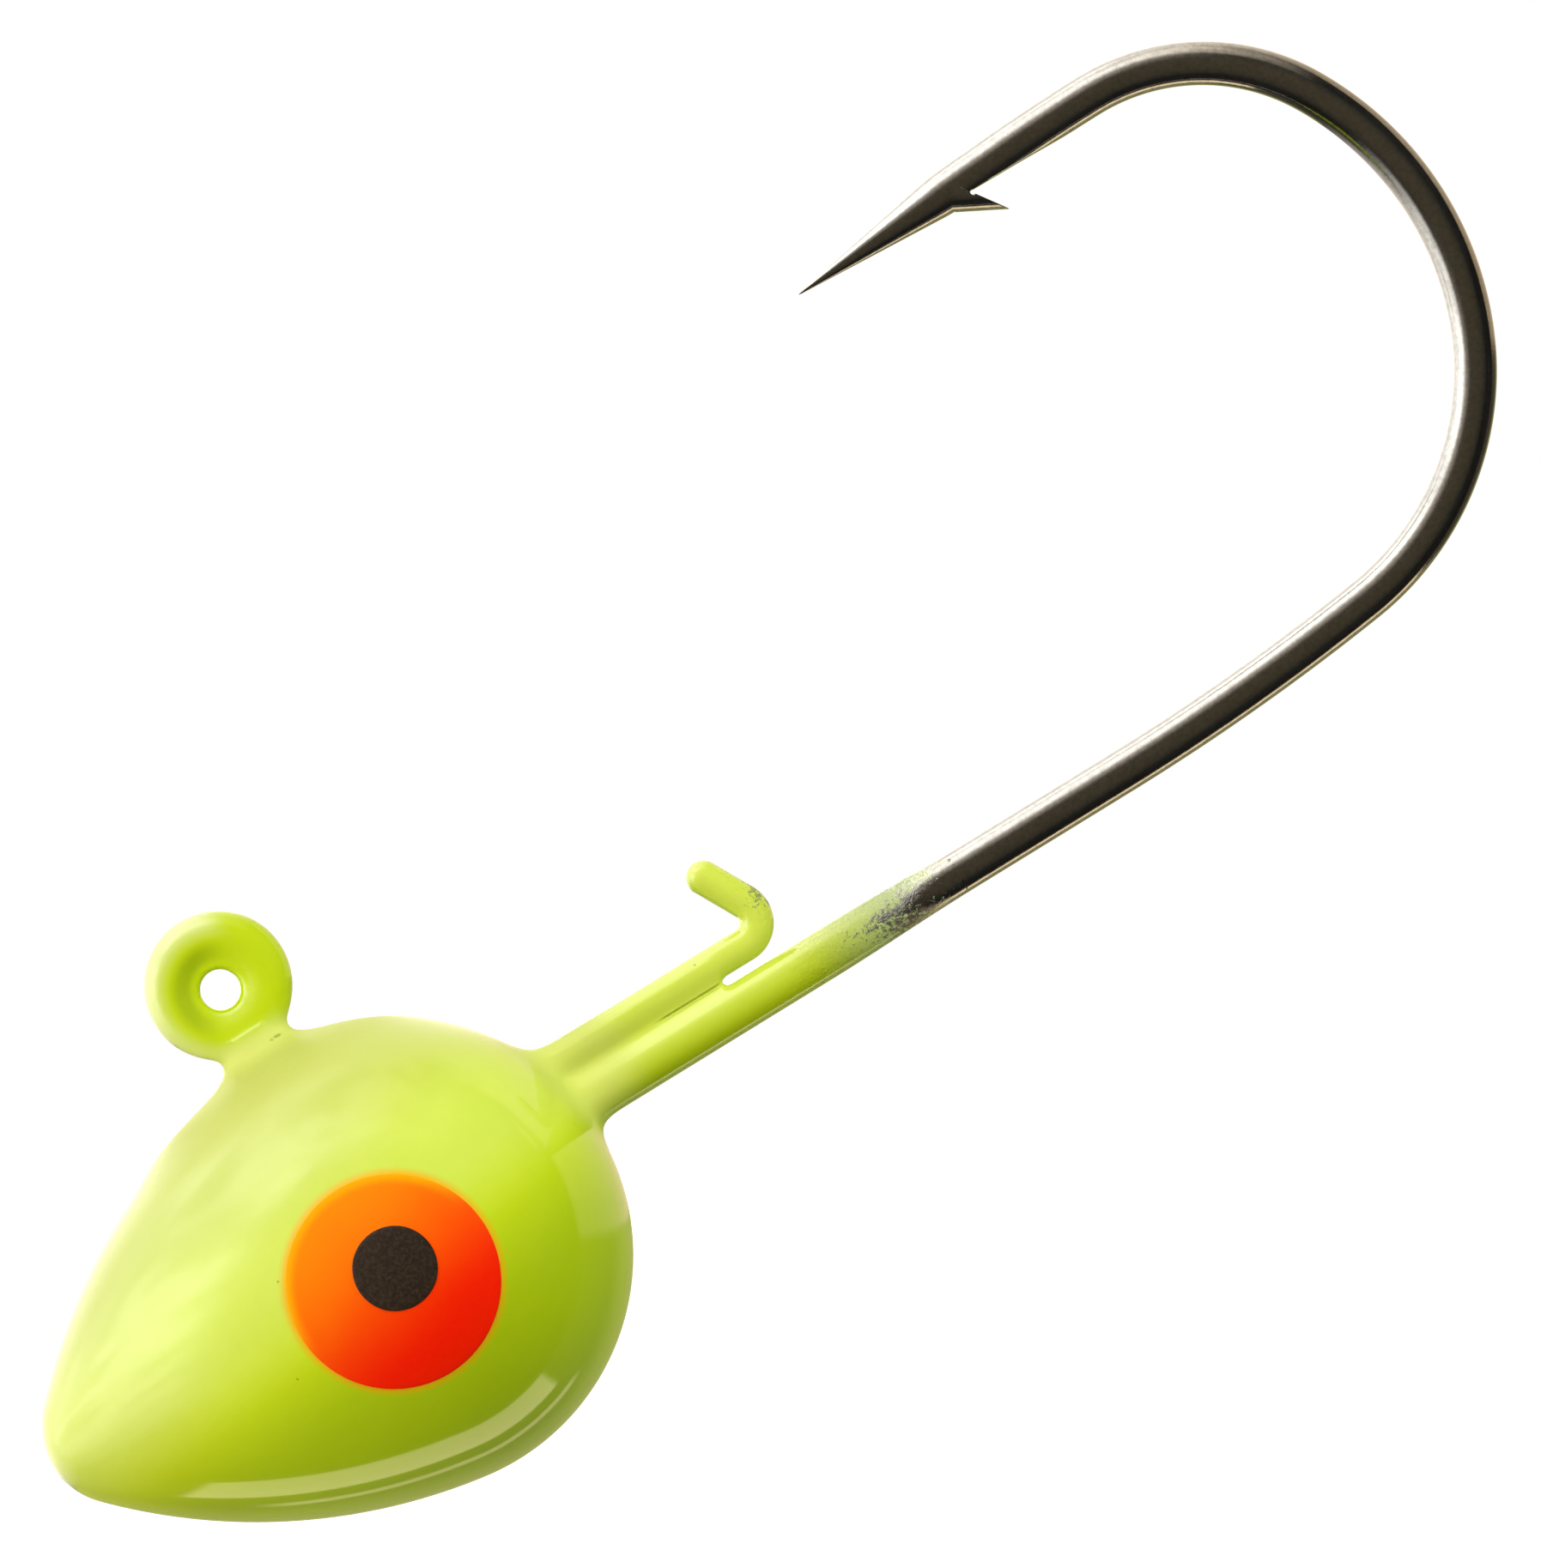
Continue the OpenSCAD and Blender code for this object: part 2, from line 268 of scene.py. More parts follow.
def surface(f, low, high, h, block=8, batch=400):
    """A net of quads over f = 0 with cells of h, made only in the blocks of cells that the surface crosses."""
    low = np.array(low, float)
    cells = np.ceil((np.array(high) - low) / (h * block)).astype(int)
    blocks = np.stack(np.meshgrid(*[np.arange(n) for n in cells], indexing="ij"), -1).reshape(-1, 3)
    reach = block * h * 1.1  # over a block's half diagonal, since the blends stretch the distance a little
    blocks = blocks[np.abs(f(low + (blocks + 0.5) * block * h)) < reach]
    corner = np.stack(np.meshgrid(*[np.arange(block + 1)] * 3, indexing="ij"), -1).reshape(-1, 3)
    size = cells * block + 2

    def code(c):
        return (c[..., 0] * size[1] + c[..., 1]) * size[2] + c[..., 2]

    active, edges = [], []
    for part in np.array_split(blocks, max(1, len(blocks) // batch)):
        at = part[:, None] * block + corner
        inside = (f(low + at.reshape(-1, 3) * h) < 0).reshape(len(part), *[block + 1] * 3)
        # the cells that the surface crosses have some of their eight corners inside
        count = sum(
            inside[:, i : block + i, j : block + j, k : block + k].astype(int)
            for i in (0, 1)
            for j in (0, 1)
            for k in (0, 1)
        )
        n, i, j, k = np.nonzero((count > 0) & (count < 8))
        active.append(part[n] * block + np.stack([i, j, k], -1))
        # and each crossed edge gets a quad, from the four cells round it
        for axis in range(3):
            a = inside[:, :block, :block, :block]
            b = np.roll(inside, -1, axis + 1)[:, :block, :block, :block]
            n, i, j, k = np.nonzero(a != b)
            at = part[n] * block + np.stack([i, j, k], -1)
            edges.append((axis, at, a[n, i, j, k]))
    active = np.concatenate(active)
    ids, first = np.unique(code(active), return_index=True)
    points, normals = settled(f, low + (active[first] + 0.5) * h)
    quads = []
    for axis, at, out in edges:
        b, c = np.eye(3, dtype=int)[(axis + 1) % 3], np.eye(3, dtype=int)[(axis + 2) % 3]
        ring = np.stack([code(at), code(at - b), code(at - b - c), code(at - c)], 1)
        ring[~out] = ring[~out][:, ::-1]
        where = np.searchsorted(ids, ring)
        where = np.minimum(where, len(ids) - 1)
        quads.append(where[(ids[where] == ring).all(1)])
    return points, np.concatenate(quads), normals


# ---------------------------------------------------------------- meshes


def add_mesh(name, points, faces, normals, material):
    """An object of quads, given in mm, without the points that no quad uses."""
    used, faces = np.unique(np.asarray(faces), return_inverse=True)
    faces = faces.reshape(-1, 4)
    points = np.asarray(points)[used] * MM
    mesh = bpy.data.meshes.new(name)
    mesh.vertices.add(len(points))
    mesh.vertices.foreach_set("co", points.astype(np.float32).ravel())
    mesh.loops.add(faces.size)
    mesh.loops.foreach_set("vertex_index", faces.astype(np.int32).ravel())
    mesh.polygons.add(len(faces))
    mesh.polygons.foreach_set("loop_start", np.arange(0, faces.size, 4, dtype=np.int32))
    mesh.update(calc_edges=True)
    mesh.validate()
    mesh.polygons.foreach_set("use_smooth", np.ones(len(mesh.polygons), bool))
    if normals is not None:
        mesh.normals_split_custom_set_from_vertices([tuple(n) for n in np.asarray(normals)[used]])
    obj = bpy.data.objects.new(name, mesh)
    bpy.context.scene.collection.objects.link(obj)
    mesh.materials.append(material)
    return obj


def grid_quads(rows, columns, closed=False):
    """Quads over rows of points; where they are closed, the last column joins the first."""
    i, j = np.meshgrid(np.arange(rows - 1), np.arange(columns if closed else columns - 1), indexing="ij")
    here, there = i * columns, (i + 1) * columns
    k = (j + 1) % columns
    return np.stack([here + j, there + j, there + k, here + k], -1).reshape(-1, 4)


def swept(stations, radii, around):
    """A tube through stations of a wire, as points, quads and normals."""
    angle = np.arange(around) / around * 2 * math.pi
    points, normals = [], []
    for ((x, z), h), radius in zip(stations, radii):
        n = np.stack([-math.sin(h) * np.cos(angle), np.sin(angle), math.cos(h) * np.cos(angle)], 1)
        normals.append(n)
        points.append(np.array([x, 0, z]) + radius * n)
    return np.concatenate(points), grid_quads(len(stations), around, closed=True), np.concatenate(normals)


# The hook's point, in its own frame: x to the tip, z to the inside of the hook

BARB_TILT = math.atan2(BARB_RISE, BARB_LEN)
BARB_FACE = np.array([NOTCH_BACK - BARB_LEN, NOTCH_DEPTH + BARB_RISE])
BARB_FACE /= np.linalg.norm(BARB_FACE)
CUT_FLOOR = np.array([CUT_LEN, -NOTCH_DEPTH]) / math.hypot(CUT_LEN, NOTCH_DEPTH)


def spear_sag(x):
    """How far the wire's centre line has left the point's axis, in the last bend behind it."""
    return np.minimum(x + SPEAR_LEN, 0) ** 2 / (2 * SPEAR_R)


def point(p):
    """The needle with its barb: a sliver of the wire's skin, lifted over the cut that freed it."""
    x, y, z = p.T
    z = z - spear_sag(x)
    rod = np.hypot(y, z) - WIRE_R
    slope = (WIRE_R - TIP_R) / POINT_LEN
    cone = (rod + slope * x) / math.hypot(1, slope)
    tip = np.sqrt(np.maximum(x - POINT_LEN + TIP_R, 0) ** 2 + y * y + z * z) - TIP_R
    needle = np.where(x > POINT_LEN - TIP_R, tip, rounded_max(rod, cone, STEEL_EDGE))
    sin, cos = math.sin(BARB_TILT), math.cos(BARB_TILT)
    skin = np.hypot((x + WIRE_R * sin) * sin + (z - WIRE_R + WIRE_R * cos) * cos, y) - WIRE_R
    u, v = x + NOTCH_BACK, z - WIRE_R + NOTCH_DEPTH  # from the bottom of the notch
    behind = u * BARB_FACE[1] - v * BARB_FACE[0]  # below zero behind the barb's face
    above = u * CUT_FLOOR[1] - v * CUT_FLOOR[0]  # below zero above the cut's floor
    barb = rounded_max(skin, np.maximum(-behind, np.maximum(x, -z)), STEEL_EDGE)
    void = rounded_max(behind, above, STEEL_EDGE)
    notch = np.hypot(u + NOTCH_R / 2, v - NOTCH_R) - NOTCH_R
    steel = np.minimum(needle, barb)
    return rounded_max(rounded_max(steel, -void, STEEL_EDGE), -notch, STEEL_EDGE)


def head_cap(f, x, z, radius, side, rise, cells=40):
    """A disc of print on the surface f, seen round from the side; its edge comes down into the coat."""
    half = np.concatenate([np.linspace(0, 0.97, cells // 2), [0.99, 1.0, 1.0]])  # in shares of the radius
    fall = np.concatenate([np.full(cells // 2, rise), [rise * 0.85, rise * 0.4, -0.02]])  # height over the coat
    line, fall = np.concatenate([-half[:0:-1], half]), np.concatenate([fall[:0:-1], fall])
    n = len(line)
    u, v = np.meshgrid(line, line, indexing="ij")
    lift = np.minimum(*np.meshgrid(fall, fall, indexing="ij")).ravel()
    u, v = (u * np.sqrt(1 - v * v / 2)).ravel(), (v * np.sqrt(1 - u * u / 2)).ravel()
    p = np.stack([x + radius * u, np.full(n * n, side * BACK[2]), z + radius * v], 1)
    for _ in range(8):  # along y, onto the surface
        slope = gradient(f, p)[:, 1]
        p[:, 1] -= (f(p) - lift) / np.where(np.abs(slope) < 0.05, 0.05 * side, slope)
    quads = grid_quads(n, n)
    return p, quads if side < 0 else quads[:, ::-1]


# ---------------------------------------------------------------- materials


class Nodes:
    """A little shorthand for shader nodes. Colours are in linear light, without their alpha."""

    def __init__(self, tree):
        self.tree = tree

    def node(self, kind, **values):
        n = self.tree.nodes.new(kind)
        for key, value in values.items():
            setattr(n, key, value)
        return n

    def put(self, socket, value):
        if isinstance(value, bpy.types.NodeSocket):
            self.tree.links.new(value, socket)
        elif socket.type == "RGBA":
            socket.default_value = (*value, 1)
        else:
            socket.default_value = value

    def vector(self, operation, a, b=None):
        n = self.node("ShaderNodeVectorMath", operation=operation)
        self.put(n.inputs[0], a)
        if operation == "SCALE":
            self.put(n.inputs["Scale"], b)
        elif b is not None:
            self.put(n.inputs[1], b)
        return n.outputs["Value" if operation in ("LENGTH", "DISTANCE", "DOT_PRODUCT") else "Vector"]

    def math(self, operation, a, b=0.0):
        n = self.node("ShaderNodeMath", operation=operation)
        self.put(n.inputs[0], a)
        self.put(n.inputs[1], b)
        return n.outputs[0]

    def plus(self, a, b):
        return self.math("ADD", a, b)

    def minus(self, a, b):
        return self.math("SUBTRACT", a, b)

    def times(self, a, b):
        return self.math("MULTIPLY", a, b)

    def most(self, a, b):
        return self.math("MAXIMUM", a, b)

    def step(self, value, low, high, to_low=0.0, to_high=1.0):
        n = self.node("ShaderNodeMapRange", interpolation_type="SMOOTHSTEP")
        self.put(n.inputs["Value"], value)
        for key, v in zip(("From Min", "From Max", "To Min", "To Max"), (low, high, to_low, to_high)):
            self.put(n.inputs[key], v)
        return n.outputs[0]

    def mix(self, factor, a, b, blend="MIX"):
        n = self.node("ShaderNodeMix", data_type="RGBA", blend_type=blend)
        for i, value in ((0, factor), (6, a), (7, b)):
            self.put(n.inputs[i], value)
        return n.outputs[2]

    def mix_number(self, factor, a, b):
        n = self.node("ShaderNodeMix", data_type="FLOAT")
        for i, value in ((0, factor), (2, a), (3, b)):
            self.put(n.inputs[i], value)
        return n.outputs[0]


class Looks(Nodes):
    """A material with one principled shader. Places are in mm, in the row's frame."""

    def __init__(self, name):
        self.material = bpy.data.materials.new(name)
        self.material.use_nodes = True
        super().__init__(self.material.node_tree)
        self.shader = self.tree.nodes["Principled BSDF"]
        self.place = self.vector("SCALE", self.node("ShaderNodeTexCoord").outputs["Object"], 1 / MM)

    def split(self):
        n = self.node("ShaderNodeSeparateXYZ")
        self.put(n.inputs[0], self.place)
        return n.outputs

    def toward(self, direction):
        return self.vector("DOT_PRODUCT", self.place, direction)

    def away(self, place):
        return self.vector("DISTANCE", self.place, place)

    def away_in_picture(self, x, z):
        """Distance to x, z as it is seen from the side."""
        return self.vector("DISTANCE", self.vector("MULTIPLY", self.place, (1, 0, 1)), (x, 0, z))

    def noise(self, per_mm, detail=2.0, rough=0.5, offset=(0, 0, 0)):
        n = self.node("ShaderNodeTexNoise")
        self.put(n.inputs["Vector"], self.vector("ADD", self.place, offset))
        self.put(n.inputs["Scale"], per_mm)
        self.put(n.inputs["Detail"], detail)
        self.put(n.inputs["Roughness"], rough)
        return n.outputs["Fac"]

    def bump(self, height, depth_mm, strength=1.0, normal=None):
        n = self.node("ShaderNodeBump")
        self.put(n.inputs["Height"], height)
        self.put(n.inputs["Distance"], depth_mm * MM)
        self.put(n.inputs["Strength"], strength)
        if normal:
            self.put(n.inputs["Normal"], normal)
        return n.outputs["Normal"]

    def finish(self, **values):
        for key, value in values.items():
            self.put(self.shader.inputs[key.replace("_", " ")], value)
        return self.material


def nickel_looks(m):
    """Colour, roughness and bump of black nickel plate on drawn wire."""
    cloud = m.noise(1.6, 4, 0.6)
    grain = m.noise(9, 3, 0.65)
    colour = m.mix(cloud, (0.21, 0.202, 0.188), (0.25, 0.246, 0.232))
    colour = m.mix(m.step(grain, 0.40, 0.64, 0.0, 0.35), colour, (0.11, 0.115, 0.10))
    return colour, m.mix_number(cloud, 0.10, 0.17), grain


def black_nickel():
    m = Looks("black_nickel")
    colour, rough, grain = nickel_looks(m)
    return m.finish(Base_Color=colour, Roughness=rough, Metallic=1.0, Normal=m.bump(grain, 0.004, 0.35))


# Places on the coat, in mm

NECK_PLACE = (0.0, 0.0, -2.1)
ROOT_PLACE = (5.2, 0.0, -5.3)
ELBOW_PLACE = (10.6, 0.0, -4.2)
CRACK_PLACE = (0.47, 0.0, -1.45)
GROOVE_Z = -5.37
DUST = (10.6, 13.4)  # where the coat turns to dust, along the shank


def chartreuse(m, x, z):
    """The coat's colour by its place, with light and shade painted in: painted shade low on the head and under
    the wires, a pale milky painted highlight across the head's middle and on the wires' tops, a little darker
    again at the head's top, a little less yellow towards the nose, and a painted highlight on the eyelet's
    outer rim on the left.
    """
    tall = m.toward((-0.13, 0, 1))
    # painted light on the head: dark olive below as painted shade, pale and milky across the middle as painted
    # highlight, darker again on top
    head = m.mix(m.step(tall, -8.9, -6.0), (0.49, 0.65, 0.0), (0.75, 0.90, 0.0))
    head = m.mix(m.step(tall, -7.5, -5.8), head, (0.75, 0.89, 0.105))
    head = m.mix(m.step(tall, -5.2, -3.0), head, (0.57, 0.665, 0.045))
    nose = m.mix(m.step(x, -6.2, -3.8), (0.95, 0.915, 1), (1, 1, 1))
    head = m.vector("MULTIPLY", head, nose)
    # painted light on the wires: darker underneath as painted shade, pale and milky on top as painted highlight
    wires = m.mix(m.step(z, -6.4, -5.4), (0.53, 0.66, 0.0), (0.77, 0.88, 0.10))
    colour = m.mix(m.step(x, 4.6, 5.6), head, wires)
    # painted highlight: the eyelet's outer rim turns pale on its left; the rest of the eyelet is a deeper green
    rim = m.times(m.step(m.away_in_picture(0, 0), 1.0, 1.56), m.step(x, 0.3, 0.9, 1.0, 0.0))
    ring = m.mix(rim, (0.59, 0.735, 0.0), (0.83, 0.885, 0.33))
    return m.mix(m.step(z, -1.7, -0.9), colour, ring)


def painted_ring_shade(m):
    """Painted shade inside the eyelet's ring, on its left, where the inner wall faces away from the light."""
    out = m.away_in_picture(0, 0)
    ring = m.times(m.step(out, 0.48, 0.72), m.step(out, 0.82, 1.12, 1.0, 0.0))
    return m.times(ring, m.step(m.toward((-0.85, 0, 0.5)), -0.2, 0.6))


def dark_grains(m):
    """A few dark grains in the powder."""
    speck = m.node("ShaderNodeTexVoronoi", feature="F1")
    m.put(speck.inputs["Vector"], m.place)
    m.put(speck.inputs["Scale"], 1.1)
    dot = m.step(speck.outputs["Distance"], 0.022, 0.04, 1.0, 0.0)
    return m.times(dot, m.step(m.noise(0.9, 0, 0, (2, 9, 4)), 0.56, 0.6))


def bare_plate(m, x, z, grain):
    """Where the plate shows between the grains of dust, towards the hook's bend."""
    side = m.minus(z, SHANK_Z)
    lean = m.plus(m.times(side, -0.25), m.times(m.math("ABSOLUTE", side), -0.55))
    thin = m.plus(m.plus(m.step(x, 9.9, 15.0), lean), m.times(grain, 2.6))
    return m.times(m.step(thin, 0.32, 0.60), m.step(x, 10.3, 12.2))


def rubbed(m, grain):
    """Where the coat is rubbed, at the keeper's elbow."""
    elbow = m.away(ELBOW_PLACE)
    rub = m.plus(m.step(elbow, 0.2, 0.80, 0.50, 0.0), m.times(grain, 2.2))
    return m.times(m.step(rub, 0.42, 0.60), m.step(elbow, 0.6, 0.85, 0.8, 0.0))


def painted_pale_haze(m, z):
    """Under the eyelet and where the wires leave the head: a pale milky colour painted in as a highlight, in
    place of the coat's reflected haze, where the clear coat is also taken off.
    """
    neck = m.times(m.step(m.away(NECK_PLACE), 2.3, 4.3, 0.95, 0.0), m.step(z, -1.35, -0.95, 1.0, 0.0))
    return m.most(neck, m.step(m.away(ROOT_PLACE), 0.9, 2.0, 0.7, 0.0))


def crack(m, mottle):
    """A crack where the eyelet's neck meets the head."""
    near = m.vector("MULTIPLY", m.vector("SUBTRACT", m.place, CRACK_PLACE), (0.8, 0.0, 2.4))
    return m.times(m.step(m.vector("LENGTH", near), 0.03, 0.14, 1.0, 0.0), m.step(mottle, 0.40, 0.50))


def coat_relief(m, x, z, grain):
    """Orange peel, the grains of dust, and the groove where the web meets the shank."""
    peel = m.plus(m.times(m.noise(1.3), 0.6), m.times(m.noise(3.4), 0.35))
    normal = m.bump(m.times(peel, m.step(z, -1.6, -0.9, 1.0, 0.3)), 0.034, 0.55)
    dust = m.times(m.step(x, 9.6, 11.5), m.step(x, 12.2, 14.2, 1.0, 0.0))
    normal = m.bump(m.times(grain, dust), 0.13, 0.8, normal)
    groove = m.minus(1.0, m.step(m.math("ABSOLUTE", m.minus(z, GROOVE_Z)), 0.0, 0.06))
    groove = m.times(groove, m.times(m.step(x, 7.3, 7.7), m.step(x, 8.8, 9.0, 1.0, 0.0)))
    return m.bump(groove, -0.06, 0.8, normal)


def powder_coat():
    """Fluorescent chartreuse powder. It thins out to the plate along the shank."""
    m = Looks("powder_coat")
    x, _, z = m.split()
    mottle = m.noise(2.2, 3, 0.55, (7, 3, 1))
    fine, coarse = m.noise(12.0, 4, 0.75, (5, 5, 5)), m.noise(3.2, 3, 0.6, (1, 8, 2))
    grain = m.minus(m.plus(m.times(fine, 0.75), m.times(coarse, 0.25)), 0.5)
    bare = bare_plate(m, x, z, grain)
    rub = rubbed(m, grain)
    # painted highlight: pale haze under the eyelet and at the wires' root
    soft = painted_pale_haze(m, z)
    bleed = m.step(m.away_in_picture(*IRIS[:2]), IRIS[2] - 0.03, IRIS[2] + 0.20, 0.9, 0.0)
    plate, plate_rough, _ = nickel_looks(m)

    colour = chartreuse(m, x, z)
    for share, over in (
        (m.times(m.noise(0.35), 0.12), (0.72, 0.82, 0.02)),  # a slow drift
        (m.times(mottle, 0.18), (0.50, 0.67, 0.0)),
        # painted shade inside the eyelet's ring, on its left
        (m.times(painted_ring_shade(m), 0.75), (0.36, 0.48, 0.0)),
        (m.times(dark_grains(m), 0.55), (0.16, 0.20, 0.01)),
        (bleed, (1.0, 0.48, 0.0)),  # the iris's ink, in the coat round it
        (m.times(m.step(x, *DUST), 0.85), (0.56, 0.66, 0.36)),  # pale dust
        (rub, (0.19, 0.23, 0.13)),
        (bare, plate),
        # painted highlight: pale milky colour in place of the coat's reflection under the eyelet and at the
        # wires' root
        (soft, (0.71, 0.77, 0.17)),
        (m.times(crack(m, mottle), 0.75), (0.10, 0.16, 0.0)),
    ):
        colour = m.mix(share, colour, over)

    rough = m.plus(plate_rough, m.step(x, 12.0, 14.2, 0.10, 0.0))
    rough = m.mix_number(bare, m.mix_number(mottle, 0.50, 0.60), rough)
    dull = m.most(bare, m.most(rub, m.step(x, *DUST, 0.0, 0.8)))
    gloss = m.minus(m.minus(1.0, soft), dull)
    return m.finish(
        Base_Color=colour,
        Roughness=rough,
        Metallic=bare,
        Normal=coat_relief(m, x, z, grain),
        Coat_Weight=m.times(gloss, 0.9),
        Coat_Roughness=0.06,
        Specular_IOR_Level=0.10,
    )


def iris_ink(side):
    """Orange ink, lighter towards the top and front as painted light, with a lighter orange at its rim on that
    side, and a faint painted glow.
    """
    m = Looks("iris_ink_" + ("left" if side < 0 else "right"))
    x, z, radius = IRIS
    down = m.vector("DOT_PRODUCT", m.vector("SUBTRACT", m.place, (x, 0, z)), (0.23, 0, -0.97))
    # painted light: the ink turns from orange above to red below
    fade = m.step(m.plus(down, m.times(m.noise(1.0), 0.4)), -2.3, 1.7)
    colour = m.mix(fade, (1.0, 0.27, 0.0), (1.0, 0.008, 0.0))
    rim = m.step(m.away_in_picture(x, z), radius - 0.25, radius + 0.02, 0.0, 0.8)
    colour = m.mix(m.times(rim, m.step(fade, 0.25, 0.7, 1.0, 0.0)), colour, (1.0, 0.48, 0.0))
    grain = m.noise(9, 3, 0.6)
    colour = m.mix(m.times(grain, 0.12), colour, (0.9, 0.10, 0.0))
    return m.finish(
        Base_Color=colour,
        Roughness=m.mix_number(grain, 0.5, 0.62),
        Normal=m.bump(grain, 0.004, 0.3),
        Specular_IOR_Level=0.05,
        # a faint glow of the ink's own colour, painted light that brightens it
        Emission_Color=colour,
        Emission_Strength=0.09,
    )


def pupil_ink():
    m = Looks("pupil_ink")
    grain = m.noise(13, 3, 0.7)
    return m.finish(
        Base_Color=m.mix(m.step(grain, 0.35, 0.7), (0.022, 0.012, 0.006), (0.048, 0.028, 0.014)),
        Roughness=m.mix_number(grain, 0.5, 0.7),
        Normal=m.bump(grain, 0.006, 0.4),
        Specular_IOR_Level=0.2,
    )


def lead():
    m = Looks("cast_lead")
    cloud = m.noise(1.1, 4, 0.6)
    return m.finish(
        Base_Color=m.mix(cloud, (0.22, 0.23, 0.25), (0.34, 0.35, 0.37)),
        Metallic=0.9,
        Roughness=m.mix_number(cloud, 0.4, 0.6),
        Normal=m.bump(m.noise(6, 3), 0.01, 0.4),
    )


coat_material = powder_coat()
nickel_material = black_nickel()

# ---------------------------------------------------------------- the coat, cut where its nodes meet

COAT_CELL = 0.075
COAT_LOW, COAT_HIGH = (-8.4, -5.2, -11.8), (COAT_END + 0.2, 5.2, 1.9)

points, quads, normals = surface(coat, COAT_LOW, COAT_HIGH, COAT_CELL)
middle = points[quads].mean(1)
wire = np.minimum(shank(middle), web(middle) + 0.05)
nearest = np.argmin([teardrop(middle) - 0.02, eyelet(middle), wire, keeper(middle)], 0)
for n, node in enumerate(("head_coat", "eyelet_coat", "shank_coat", "keeper_coat")):
    piece = add_mesh(node.replace("coat", "skin"), points, quads[nearest == n], normals, coat_material)
    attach(piece, "root")
    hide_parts(node)

# ---------------------------------------------------------------- the hook: a tube, and the point's net

SPLIT = -3.0  # where the tube hands over to the point's net, along the point's axis
POINT_CELL = 0.02
POINT_LOW, POINT_HIGH = (SPLIT, -0.5, -0.5), (POINT_LEN + 0.02, 0.5, 1.12)
AROUND = 64
TUCK = 0.004  # the tube's last ring is this much thinner and lies inside the net

axis = np.array([math.cos(HOOK.heading), math.sin(HOOK.heading)])
inward = np.array([-axis[1], axis[0]])
to_row = np.array([[axis[0], 0, axis[1]], [0, 1, 0], [inward[0], 0, inward[1]]])
tip_points, tip_quads, tip_normals = surface(point, POINT_LOW, POINT_HIGH, POINT_CELL)
tip_quads = tip_quads[tip_points[tip_quads][:, :, 0].min(1) > SPLIT - POINT_CELL]
tip_points = tip_points @ to_row + np.array([HOOK.end[0], 0, HOOK.end[1]])
tip_normals = tip_normals @ to_row

# the tube's stations up to the split; all that lies under z = 2, such as the shank, comes before it on the wire
stations = [st for st in HOOK.stations(0.5, 0.12) if (st[0] - HOOK.end) @ axis < SPLIT - 0.1 or st[0][1] < 2]
radii = [WIRE_R] * (len(stations) + 1) + [WIRE_R - TUCK]
for u in (SPLIT - 0.04, SPLIT + 0.05):
    stations.append((HOOK.end + u * axis + spear_sag(u) * inward, HOOK.heading + (u + SPEAR_LEN) / SPEAR_R))
wire_points, wire_quads, wire_normals = swept(stations, radii, AROUND)
hook = add_mesh(
    "hook_wire",
    np.concatenate([wire_points, tip_points]),
    np.concatenate([wire_quads, tip_quads + len(wire_points)]),
    np.concatenate([wire_normals, tip_normals]),
    nickel_material,
)
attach(hook, "root")
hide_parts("hook")

# ---------------------------------------------------------------- the eyes

for side, name in ((-1, "left"), (1, "right")):
    p, q = head_cap(coat, *IRIS, side, PRINT)
    iris = add_mesh(name + "_iris_print", p, q, None, iris_ink(side))
    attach(iris, "root")
    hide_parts(name + "_iris")
    p, q = head_cap(coat, *PUPIL, side, 2 * PRINT, 24)
    pupil = add_mesh(name + "_pupil_print", p, q, None, pupil_ink())
    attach(pupil, "root")
    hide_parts(name + "_pupil")

for node, material in (("bait_keeper", nickel_material), ("head_casting", lead())):
    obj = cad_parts[node]
    obj.data.materials.clear()
    obj.data.materials.append(material)

# ---------------------------------------------------------------- camera, at the photograph's angle

ROLL = math.radians(31.6)
PX_PER_MM = 56.0
WIDE, TALL = 1795, 1827
EYELET_PX = (256.5, 1152.8)  # the line hole's centre in the photograph, from its upper left corner
SENSOR = 24
FAR = 0.62
right = Vector((math.cos(ROLL), 0, -math.sin(ROLL)))
up = Vector((math.sin(ROLL), 0, math.cos(ROLL)))
back = Vector((0, -1, 0))
centre = (right * (WIDE / 2 - EYELET_PX[0]) - up * (TALL / 2 - EYELET_PX[1])) / PX_PER_MM * MM


def placed(at, x, y, z):
    return Matrix.Translation(at) @ Matrix((x, y, z)).transposed().to_4x4()


camera = bpy.data.objects.new("camera", bpy.data.cameras.new("camera"))
bpy.context.scene.collection.objects.link(camera)
camera.data.sensor_fit = "VERTICAL"
camera.data.sensor_height = SENSOR
camera.data.lens = SENSOR * FAR / (TALL / PX_PER_MM * MM)
camera.data.clip_start, camera.data.clip_end = 0.01, 50
camera.matrix_world = placed(centre + back * FAR, right, up, back)
bpy.context.scene.camera = camera

# ---------------------------------------------------------------- light

KEY_ANGLE, KEY_OFF_AXIS, KEY_FAR = 138, 69, 0.30
KEY_WIDE, KEY_TALL, KEY_RADIANCE = 0.42, 0.20, 0.08


def toward(angle, off_axis):
    """A direction given as it is seen in the picture: an angle from the right, and off the camera's axis."""
    t, a = math.radians(angle), math.radians(off_axis)
    return math.cos(a) * back + math.sin(a) * (math.cos(t) * right + math.sin(t) * up)


